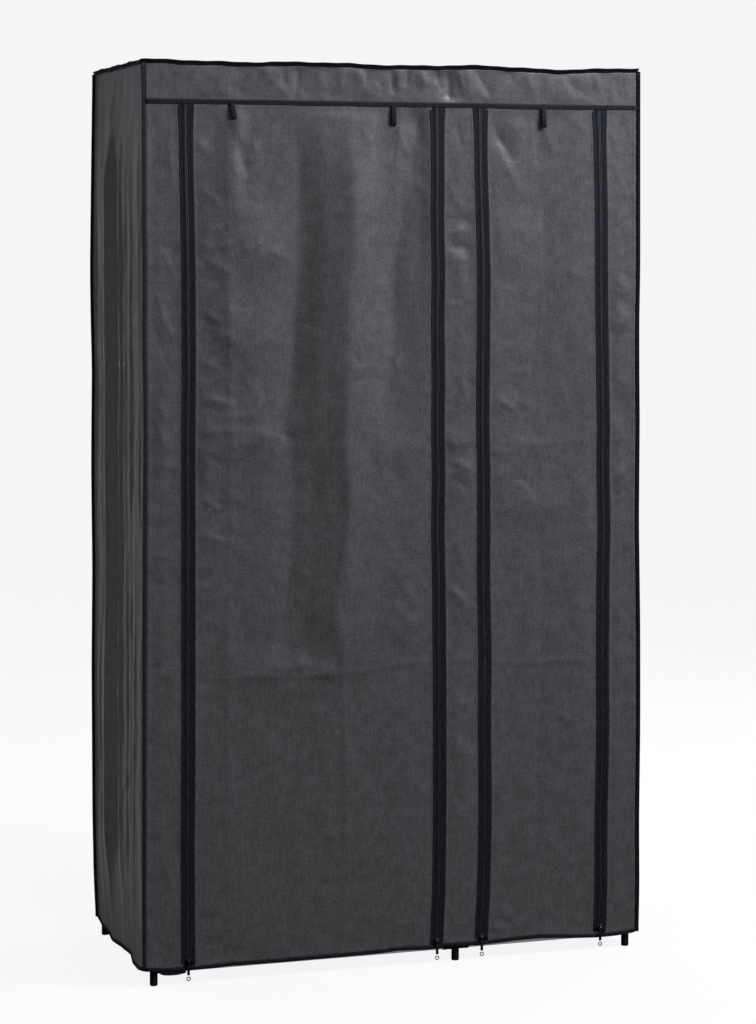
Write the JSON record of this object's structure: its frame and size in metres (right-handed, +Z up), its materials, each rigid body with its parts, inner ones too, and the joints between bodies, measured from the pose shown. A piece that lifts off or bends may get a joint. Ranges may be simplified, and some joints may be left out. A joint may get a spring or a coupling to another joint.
{
  "type": "portable fabric wardrobe",
  "caption": "Tall free-standing wardrobe: a tube frame in plastic connectors under a cloth cover, with a wide and a narrow zipped roll-up door, a clothes rail and shelves.",
  "frame": {"origin": "on the floor, under the middle of the wardrobe", "axes": "+Z up, +X to the right seen from the front, the front with the doors faces -Y"},
  "size_m": [1, 0.45, 1.75],
  "materials": {
    "cover_cloth": "matt non-woven polypropylene, cloudy dark grey",
    "edge_binding": "black bias tape with a soft sheen",
    "zip_tape": "black ribbed zip tape with a nylon coil",
    "zip_hardware": "black painted zinc",
    "frame_steel": "light grey powder coat",
    "frame_plastic": "black moulded polypropylene"
  },
  "bodies": {
    "root": {"cover_roof": "cover_cloth", "cover_left_side": "cover_cloth", "cover_right_side": "cover_cloth", "cover_back": "cover_cloth", "cover_top_band": "cover_cloth", "cover_top_piping": "edge_binding", "front_left_strip": "cover_cloth", "front_centre_strip": "cover_cloth", "front_right_strip": "cover_cloth", "left_door_outer_zip_fixed_tape": "zip_tape", "left_door_inner_zip_fixed_tape": "zip_tape", "right_door_inner_zip_fixed_tape": "zip_tape", "right_door_outer_zip_fixed_tape": "zip_tape", "base_side_frame_left": "frame_plastic", "base_side_frame_middle": "frame_plastic", "base_side_frame_right": "frame_plastic", "top_side_frame_left": "frame_plastic", "top_side_frame_middle": "frame_plastic", "top_side_frame_right": "frame_plastic", "post_front_left": "frame_steel", "post_front_middle": "frame_steel", "post_front_right": "frame_steel", "post_back_left": "frame_steel", "post_back_middle": "frame_steel", "post_back_right": "frame_steel", "base_rail_front_left": "frame_steel", "base_rail_front_right": "frame_steel", "base_rail_back_left": "frame_steel", "base_rail_back_right": "frame_steel", "top_rail_front_left": "frame_steel", "top_rail_front_right": "frame_steel", "top_rail_back_left": "frame_steel", "top_rail_back_right": "frame_steel", "clothes_rail": "frame_steel", "floor_cloth": "cover_cloth", "shelf_1_cloth": "cover_cloth", "shelf_1_front_rail": "frame_plastic", "shelf_1_back_rail": "frame_plastic", "shelf_2_cloth": "cover_cloth", "shelf_2_front_rail": "frame_plastic", "shelf_2_back_rail": "frame_plastic"},
    "left_door": {"left_door": "cover_cloth", "left_door_hem": "edge_binding", "left_door_outer_zip_door_tape": "zip_tape", "left_door_inner_zip_door_tape": "zip_tape"},
    "right_door": {"right_door": "cover_cloth", "right_door_hem": "edge_binding", "right_door_inner_zip_door_tape": "zip_tape", "right_door_outer_zip_door_tape": "zip_tape"},
    "left_door_outer_slider": {"left_door_outer_zip_slider": "zip_hardware"},
    "left_door_inner_slider": {"left_door_inner_zip_slider": "zip_hardware"},
    "right_door_inner_slider": {"right_door_inner_zip_slider": "zip_hardware"},
    "right_door_outer_slider": {"right_door_outer_zip_slider": "zip_hardware"},
    "left_door_outer_pull": {"left_door_outer_zip_pull": "zip_hardware"},
    "left_door_inner_pull": {"left_door_inner_zip_pull": "zip_hardware"},
    "right_door_inner_pull": {"right_door_inner_zip_pull": "zip_hardware"},
    "right_door_outer_pull": {"right_door_outer_zip_pull": "zip_hardware"},
    "left_door_outer_tie": {"left_door_tie_outer": "edge_binding"},
    "left_door_inner_tie": {"left_door_tie_inner": "edge_binding"},
    "right_door_tie": {"right_door_tie": "edge_binding"}
  },
  "joints": [
    {"name": "left_door_raise", "type": "slide", "parent": "root", "child": "left_door", "axis": [0, 0, 1], "range_m": [0, 1.52], "deforming": ["left_door", "left_door_outer_zip_door_tape", "left_door_inner_zip_door_tape"]},
    {"name": "right_door_raise", "type": "slide", "parent": "root", "child": "right_door", "axis": [0, 0, 1], "range_m": [0, 1.52], "deforming": ["right_door", "right_door_inner_zip_door_tape", "right_door_outer_zip_door_tape"]},
    {"name": "left_door_outer_slider_run", "type": "slide", "parent": "root", "child": "left_door_outer_slider", "axis": [0, 0, 1], "range_m": [0, 1.52]},
    {"name": "left_door_inner_slider_run", "type": "slide", "parent": "root", "child": "left_door_inner_slider", "axis": [0, 0, 1], "range_m": [0, 1.52]},
    {"name": "right_door_inner_slider_run", "type": "slide", "parent": "root", "child": "right_door_inner_slider", "axis": [0, 0, 1], "range_m": [0, 1.52]},
    {"name": "right_door_outer_slider_run", "type": "slide", "parent": "root", "child": "right_door_outer_slider", "axis": [0, 0, 1], "range_m": [0, 1.52]},
    {"name": "left_door_outer_pull_swing", "type": "hinge", "parent": "left_door_outer_slider", "child": "left_door_outer_pull", "pos_m": [-0.42, -0.2218, 0.043], "axis": [-1, 0, 0], "range_deg": [0, 170]},
    {"name": "left_door_inner_pull_swing", "type": "hinge", "parent": "left_door_inner_slider", "child": "left_door_inner_pull", "pos_m": [0.08, -0.2218, 0.043], "axis": [-1, 0, 0], "range_deg": [0, 170]},
    {"name": "right_door_inner_pull_swing", "type": "hinge", "parent": "right_door_inner_slider", "child": "right_door_inner_pull", "pos_m": [0.173, -0.2218, 0.043], "axis": [-1, 0, 0], "range_deg": [0, 170]},
    {"name": "right_door_outer_pull_swing", "type": "hinge", "parent": "right_door_outer_slider", "child": "right_door_outer_pull", "pos_m": [0.424, -0.2218, 0.043], "axis": [-1, 0, 0], "range_deg": [0, 170]},
    {"name": "left_door_outer_tie_swing", "type": "hinge", "parent": "root", "child": "left_door_outer_tie", "pos_m": [-0.331, -0.2204, 1.668], "axis": [-1, 0, 0], "range_deg": [0, 120]},
    {"name": "left_door_inner_tie_swing", "type": "hinge", "parent": "root", "child": "left_door_inner_tie", "pos_m": [-0.009, -0.2204, 1.668], "axis": [-1, 0, 0], "range_deg": [0, 120]},
    {"name": "right_door_tie_swing", "type": "hinge", "parent": "root", "child": "right_door_tie", "pos_m": [0.2985, -0.2204, 1.668], "axis": [-1, 0, 0], "range_deg": [0, 120]}
  ],
  "couplings": [
    {"joint": "left_door_outer_slider_run", "follows": "left_door_raise", "ratio": 1},
    {"joint": "left_door_inner_slider_run", "follows": "left_door_raise", "ratio": 1},
    {"joint": "right_door_inner_slider_run", "follows": "right_door_raise", "ratio": 1},
    {"joint": "right_door_outer_slider_run", "follows": "right_door_raise", "ratio": 1}
  ]
}
